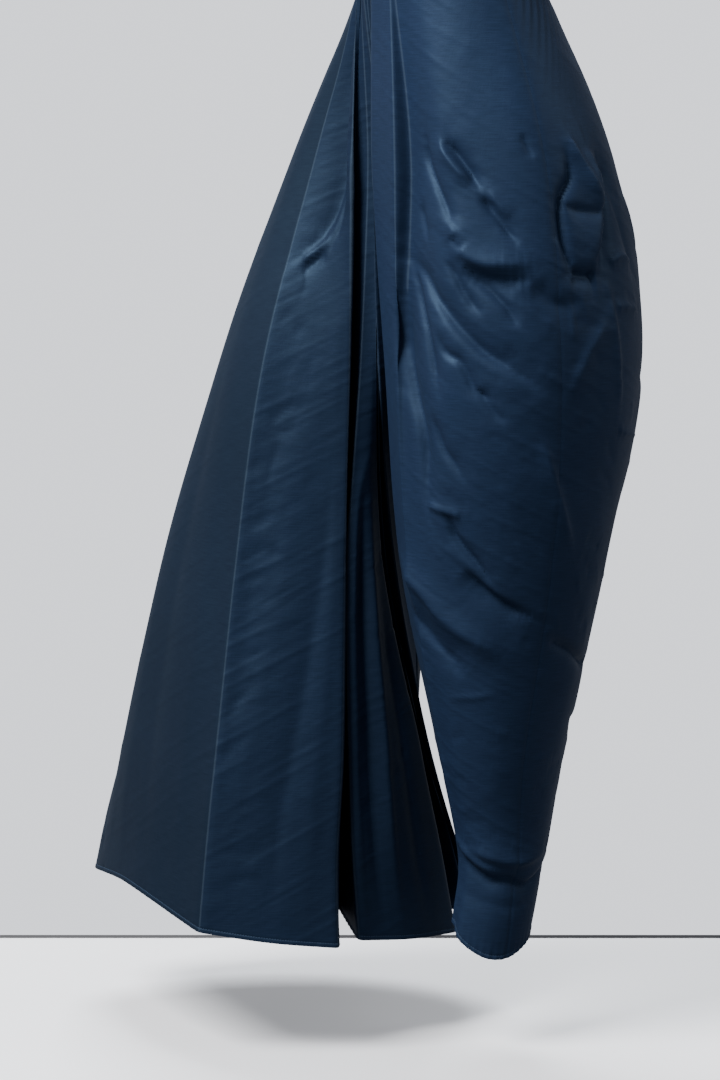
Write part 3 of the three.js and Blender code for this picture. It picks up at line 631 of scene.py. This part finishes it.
def build_leg(leg):
    """The leg's cloth: its points with their folds, its normals, its cloth coordinates and its marks."""
    names, points = leg_grid(leg)
    points = meet_band(points)
    normals = grid_normals(points, leg["side"])
    steps = np.nan_to_num(np.linalg.norm(np.roll(points, -1, axis=1) - points, axis=-1))
    lengths = np.cumsum(steps, axis=1) - steps
    z = points[..., 2]
    real = ~np.isnan(z)
    if leg["side"] > 0:
        origin = lengths[:, names.index("centre front")]
        away = points[..., :2] - np.array(LEFT_AXIS)
        turn = np.degrees(np.arctan2(away[..., 0], -away[..., 1]))
        measure = np.where(turn < -90, turn + 360, turn)
        scale = np.radians(1) * np.linalg.norm(away, axis=-1)
    else:
        origin = lengths[:, names.index("pressed edge")]
        measure = origin[:, None] - lengths
        scale = np.ones_like(z)
    uv = lengths - origin[:, None]
    lift = z - z[-1:]
    small = [fold for row in leg["crinkles"] for fold in crinkles(*row)]
    sink = fold_depth(leg["folds"] + small, measure[real], z[real], scale[real])
    sink += waves(leg["wave_seed"], uv[real], z[real])
    sink += gathers(points[real], uv[real])
    sink = sink * smoothstep(0, 14, PANEL_TOP - z[real]) + hem_relief(lift[real], uv[real])
    for name in ("side", "inseam"):
        away = np.abs(lengths - lengths[:, [names.index(name)]])[real]
        sink += SEAM_GROOVE * np.exp(-(away / 2) ** 2)
    moved = points.copy()
    moved[real] -= normals[real] * sink[:, None]
    own_side(leg, moved)
    # Distance to the nearest pressed edge, which the material turns into a painted highlight; on the left
    # leg it fades out lower down.
    pressed = np.full(z.shape, float(UNPRESSED))
    faded = 0 if leg["side"] < 0 else UNPRESSED * smoothstep(*PRESSED_TO, -z)
    for name, form, _ in leg["lines"]:
        if form == "edge":
            away = np.abs(lengths - lengths[:, [names.index(name)]])
            pressed = np.minimum(pressed, away + faded)
    return names, moved, grid_normals(moved, leg["side"]), uv, {"pressed": pressed, "stitch": lift - HEM}


def hem_relief(lift, uv):
    """The narrow turned-up hem stands a little proud below its line of stitching, and puckers there."""
    proud, sunk, stitch_width, pucker_spacing, pucker_reach = 0.45, 0.35, 0.7, 8, 9
    fold = -proud * (1 - smoothstep(HEM - stitch_width, HEM + 0.1, lift))
    groove = sunk * np.exp(-((lift - HEM) / stitch_width) ** 2)
    pucker = sunk * np.sin(uv * 2 * math.pi / pucker_spacing + 2 * np.sin(uv / 19))
    return fold + groove + pucker * np.exp(-np.maximum(lift, 0) / pucker_reach)


def band_piece(name, sign, depth, gathered):
    """Half of the waistband: cloth folded over a stiffener at the front, or over elastic at the back."""
    columns, rows, gathers_round = 360, 40, 46
    gap = SEAM / 2 / BAND_HALF_WIDTH
    turn = np.linspace(gap, math.pi - gap, columns + 1)[None, :]
    z = np.linspace(-BAND_HEIGHT / 2, BAND_HEIGHT / 2, rows + 1)[:, None]
    rounded = (np.abs(z) / (BAND_HEIGHT / 2)) ** 8
    sink = 0.5 * rounded + np.zeros_like(turn)
    if gathered:
        rng = np.random.default_rng(5)
        steps = np.cumsum(rng.uniform(0.7, 1.3, columns + 1))[None, :]
        phase = steps * 2 * math.pi * gathers_round / columns
        lift = 0.75 + 0.25 * np.sin(phase / 7 + 1)
        sink = sink + lift * (0.9 + 0.9 * np.sin(phase + 0.4 * np.sin(z / 9))) * np.sin(turn)
    sewn = np.array([-10, 0, 10] if gathered else [-17, 17])
    stitch = np.abs(z - sewn).min(axis=1, keepdims=True)
    sink = sink + 0.5 * np.exp(-(stitch / 1.1) ** 2)

    def face(inward):
        """Points round the half ellipse, set in from its outline."""
        x, y = (BAND_HALF_WIDTH - inward) * np.cos(turn), sign * (depth - inward) * np.sin(turn)
        return np.stack([x, y, z + np.zeros_like(turn)], axis=-1)

    outer, inner = face(sink), face(BAND_WALL - 0.3 * rounded)
    ring = np.concatenate([outer, inner[::-1]])
    count = len(ring)
    ids = np.arange(count * (columns + 1)).reshape(count, columns + 1)
    following = np.roll(ids, -1, axis=0)
    quads = np.stack([ids[:, :-1], following[:, :-1], following[:, 1:], ids[:, 1:]], axis=-1).reshape(-1, 4)
    if sign > 0:
        quads = quads[:, ::-1]
    caps = [ids[:, 0].tolist(), ids[::-1, -1].tolist()]
    if sign > 0:
        caps = [cap[::-1] for cap in caps]
    around = np.concatenate([np.zeros(1), np.cumsum(np.linalg.norm(np.diff(outer[0], axis=0), axis=-1))])
    flat = np.stack([np.tile(around, (count, 1)), ring[..., 2]], axis=-1).reshape(-1, 2)
    marks = {"pressed": np.full(flat.shape[0], float(UNPRESSED)),
             "stitch": np.repeat(np.concatenate([stitch, stitch[::-1]]), columns + 1)}
    return new_object(name, ring.reshape(-1, 3), quads.tolist() + caps, flat, marks)


def node(tree, kind, inputs=None, **settings):
    """Adds a shader node; an input is a plain value or another node's output."""
    made = tree.nodes.new(kind)
    for key, value in settings.items():
        setattr(made, key, value)
    for key, value in (inputs or {}).items():
        if isinstance(value, bpy.types.NodeSocket):
            tree.links.new(value, made.inputs[key])
        else:
            made.inputs[key].default_value = value
    return made


def ranged(tree, value, low, high, to_low, to_high):
    """A value mapped from one range to another, and kept inside it."""
    return node(tree, "ShaderNodeMapRange", {"Value": value, "From Min": low, "From Max": high,
                                             "To Min": to_low, "To Max": to_high}).outputs[0]


def mixed(tree, share, one, other, blend="MIX"):
    """A colour between two others."""
    made = node(tree, "ShaderNodeMix", data_type="RGBA", blend_type=blend)
    for socket, value in ((made.inputs[0], share), (made.inputs[6], one), (made.inputs[7], other)):
        if isinstance(value, bpy.types.NodeSocket):
            tree.links.new(value, socket)
        else:
            socket.default_value = value if socket == made.inputs[0] else (*value, 1)
    return made.outputs[2]


def noise(tree, vector, scale, detail=2.0, **settings):
    """A noise texture's value."""
    inputs = {"Vector": vector, "Scale": scale, "Detail": detail}
    return node(tree, "ShaderNodeTexNoise", inputs, **settings).outputs[0]


def maths(tree, operation, *values):
    """The result of an operation on one or two values."""
    return node(tree, "ShaderNodeMath", dict(enumerate(values)), operation=operation).outputs[0]


def bumped(tree, height, strength, distance, normal=None):
    """A normal raised by a height, over another normal where one is given."""
    inputs = {"Height": height, "Strength": strength, "Distance": distance}
    if normal is not None:
        inputs["Normal"] = normal
    return node(tree, "ShaderNodeBump", inputs).outputs[0]


def taffeta(name, ground, thread, crisp):
    """Crisp woven taffeta: slubs both ways, small crinkles, a soft sheen and a painted highlight along the
    pressed edges.
    """
    material = bpy.data.materials.new(name)
    material.use_nodes = True
    tree = material.node_tree
    shader = tree.nodes["Principled BSDF"]
    flat = node(tree, "ShaderNodeUVMap", uv_map="cloth").outputs[0]
    place = node(tree, "ShaderNodeTexCoord").outputs["Object"]
    pressed = node(tree, "ShaderNodeAttribute", attribute_name="pressed").outputs["Fac"]
    weft = node(tree, "ShaderNodeMapping", {"Vector": flat, "Scale": (45, 1300, 1)}).outputs[0]
    warp = node(tree, "ShaderNodeMapping", {"Vector": flat, "Scale": (1500, 60, 1)}).outputs[0]
    slub = noise(tree, weft, 1.0, 3.0)
    ends = noise(tree, warp, 1.0, 2.0)
    broad = noise(tree, place, 9.0, 3.0)
    crinkle = noise(tree, place, 30.0, 4.0, noise_type="RIDGED_MULTIFRACTAL")
    slanted = node(tree, "ShaderNodeMapping", {"Vector": flat, "Rotation": (0, 0, math.radians(-28)),
                                                "Scale": (0.11, 0.013, 1)}, vector_type="TEXTURE").outputs[0]
    creased = noise(tree, slanted, 1.0, 3.0, noise_type="RIDGED_MULTIFRACTAL")
    fine = noise(tree, place, 95.0, 3.0)
    normal = bumped(tree, maths(tree, "ADD", slub, ends), 0.3, 0.00022)
    normal = bumped(tree, fine, 0.5 * crisp, 0.0005, normal)
    normal = bumped(tree, creased, 0.8 * crisp, 0.0011, normal)
    normal = bumped(tree, crinkle, 0.6 * crisp, 0.0014, normal)
    colour = mixed(tree, ranged(tree, slub, 0.35, 0.68, 0, 1), ground, thread)
    colour = mixed(tree, ranged(tree, ends, 0.4, 0.7, 0, 0.35), colour, thread)
    colour = mixed(tree, ranged(tree, broad, 0.3, 0.7, 0, 0.3), colour, tuple(0.7 * v for v in ground))
    # Painted highlight: a pale blue-grey mixed in along the pressed edges, standing for the bright line that
    # light draws on them.
    painted_edge_highlight = ranged(tree, pressed, 0.3, 1.5, 0.26, 0)
    colour = mixed(tree, painted_edge_highlight, colour, (0.07, 0.10, 0.14))
    stitch = node(tree, "ShaderNodeAttribute", attribute_name="stitch").outputs["Fac"]
    near = ranged(tree, maths(tree, "ABSOLUTE", stitch), 0.25, 0.5, 1, 0)
    along = node(tree, "ShaderNodeSeparateXYZ", {0: flat}).outputs[0]
    turns = maths(tree, "MULTIPLY", along, 2 * math.pi / (STITCH * MM))
    sewn = maths(tree, "MULTIPLY", near, ranged(tree, maths(tree, "SINE", turns), -0.6, -0.2, 0, 1))
    colour = mixed(tree, sewn, colour, (0.030, 0.048, 0.085))
    normal = bumped(tree, sewn, 0.8, 0.0003, normal)
    tree.links.new(colour, shader.inputs["Base Color"])
    tree.links.new(ranged(tree, broad, 0.25, 0.75, 0.50, 0.60), shader.inputs["Roughness"])
    tree.links.new(normal, shader.inputs["Normal"])
    shader.inputs["Specular IOR Level"].default_value = 0.27
    shader.inputs["Specular Tint"].default_value = (0.4, 0.68, 1.0, 1)
    shader.inputs["Sheen Weight"].default_value = 0.01
    shader.inputs["Sheen Roughness"].default_value = 0.4
    shader.inputs["Sheen Tint"].default_value = (0.45, 0.62, 0.9, 1)
    return material


def plain(name, colour, roughness, glow=0):
    """A matt studio surface with a faint mottle and, where asked, a little light of its own."""
    material = bpy.data.materials.new(name)
    material.use_nodes = True
    tree = material.node_tree
    shader = tree.nodes["Principled BSDF"]
    grain = noise(tree, node(tree, "ShaderNodeTexCoord").outputs["Object"], 3.0, 4.0)
    tree.links.new(mixed(tree, ranged(tree, grain, 0.3, 0.7, 0, 1), colour, tuple(0.97 * v for v in colour)),
                   shader.inputs["Base Color"])
    shader.inputs["Roughness"].default_value = roughness
    shader.inputs["Emission Color"].default_value = (*colour, 1)
    shader.inputs["Emission Strength"].default_value = glow
    return material


def add_piece(piece, material, *nodes):
    """The piece takes its material, rides on the garment and stands for the CAD nodes."""
    piece.data.materials.append(material)
    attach(piece, "root")
    if nodes:
        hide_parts(*nodes)
    return piece


def add_panels(legs):
    """The five panels, each with the flat size of its cut in metres and the cut's flat area."""
    # Three copies of one taffeta that differ only in lightness and tone. The left leg's copy is lightened as
    # painted light. The right leg's pleats take a darker copy as painted shade. Its front and back take a
    # darker, greyer copy as painted shade and painted sheen.
    painted_light_navy = taffeta("navy taffeta", (0.0086, 0.0166, 0.040), (0.0138, 0.0262, 0.062), 0.9)
    painted_shade_navy = taffeta("shaded taffeta", (0.0056, 0.0110, 0.0265), (0.0090, 0.0175, 0.041), 1.0)
    painted_shade_slate = taffeta("slate taffeta", (0.0048, 0.0092, 0.0200), (0.0078, 0.0142, 0.029), 0.55)
    cuts = {
        "left_front": ("left", "inseam", "side", (0.29, 1.05), 0.253, painted_light_navy),
        "left_back": ("left", "side", "inseam", (0.32, 1.05), 0.284, painted_light_navy),
        "right_pleats": ("right", "inseam", "pressed edge", (0.62, 1.05), 0.44, painted_shade_navy),
        "right_front": ("right", "pressed edge", "side", (0.45, 1.06), 0.326, painted_shade_slate),
        "right_back": ("right", "side", "inseam", (0.38, 1.05), 0.277, painted_shade_slate),
    }
    for name, (leg, start, end, flat, area, material) in cuts.items():
        piece = add_piece(cloth_piece(name + "_cloth", LEGS[leg], legs[leg], start, end), material, name)
    return painted_light_navy


def add_bands(material):
    """The two halves of the waistband, each half the length of the waist."""
    for half, sign, gathered in (("front", -1, False), ("back", 1, True)):
        name = "waistband_" + half
        piece = add_piece(band_piece(name + "_cloth", sign, BAND_DEPTHS[half], gathered), material, name)


def flat_mesh(name, corners, material):
    """One face of the studio, which the cloth neither mirrors nor takes light from."""
    mesh = bpy.data.meshes.new(name)
    mesh.from_pydata(corners, [], [(0, 1, 2, 3)])
    mesh.materials.append(material)
    made = bpy.data.objects.new(name, mesh)
    made.visible_glossy = made.visible_diffuse = False
    bpy.context.scene.collection.objects.link(made)


def add_floor(level, across):
    """Pale floor up to a dark strip before the backdrop, which is painted shade where floor and backdrop
    meet.
    """
    far = Vector((MIDDLE.x, MIDDLE.y, FLOOR)) + level * FLOOR_END
    left, right = far - across * FLOOR_REACH, far + across * FLOOR_REACH
    near, line = -level * FLOOR_NEAR, Vector((0, 0, FLOOR_SHADE_LINE))
    pale, dark = plain("floor", (0.80, 0.81, 0.845), 0.9, 0.37), plain("gap", (0.2, 0.2, 0.21), 0.9)
    flat_mesh("floor", [left, right, right + near, left + near], pale)
    # The strip named gap is painted shade: dark grey colour standing for the shade where floor and backdrop
    # meet.
    flat_mesh("gap", [left, right, right + line, left + line], dark)


def add_light(name, place, size, power, colour):
    """An area light that faces the garment's middle."""
    light = bpy.data.lights.new(name, "AREA")
    light.shape = "RECTANGLE"
    light.size, light.size_y = size
    light.energy = power
    light.color = colour
    lamp = bpy.data.objects.new(name, light)
    lamp.location = place
    lamp.rotation_euler = (MIDDLE - place).to_track_quat("-Z", "Y").to_euler()
    bpy.context.scene.collection.objects.link(lamp)


def add_lights(level, across):
    """A broad soft key from high on the wearer's front, a weak rim from the right and one from behind.
    The backdrop is the world, brighter to the camera than the light that it gives."""
    world = bpy.data.worlds.new("studio air")
    bpy.context.scene.world = world
    world.use_nodes = True
    tree = world.node_tree
    seen = node(tree, "ShaderNodeLightPath").outputs["Is Camera Ray"]
    background = tree.nodes["Background"]
    background.inputs["Color"].default_value = (0.91, 0.935, 1.0, 1)
    given, shown = 0.27, 1.45
    tree.links.new(ranged(tree, seen, 0, 1, given, shown), background.inputs["Strength"])
    up = Vector((0, 0, 1))
    add_light("key", MIDDLE + Vector((0.38, -2.25, 3.0)), (1.7, 1.7), 305, (1, 0.99, 0.98))
    add_light("rim", MIDDLE - level * 0.3 + across * 2.2 + up * 1.5, (0.5, 1.4), 11, (0.95, 0.98, 1))
    add_light("back", MIDDLE + level * 1.7 - across * 0.3 + up * 2.9, (1.6, 1.6), 190, (0.95, 0.98, 1))


towards = add_camera()
level = Vector((towards.x, towards.y, 0)).normalized()
across = Vector((level.y, -level.x, 0))
painted_light_navy = add_panels({name: build_leg(leg) for name, leg in LEGS.items()})
# The waistband takes the lightened copy, with its painted light.
add_bands(painted_light_navy)
add_floor(level, across)
add_lights(level, across)
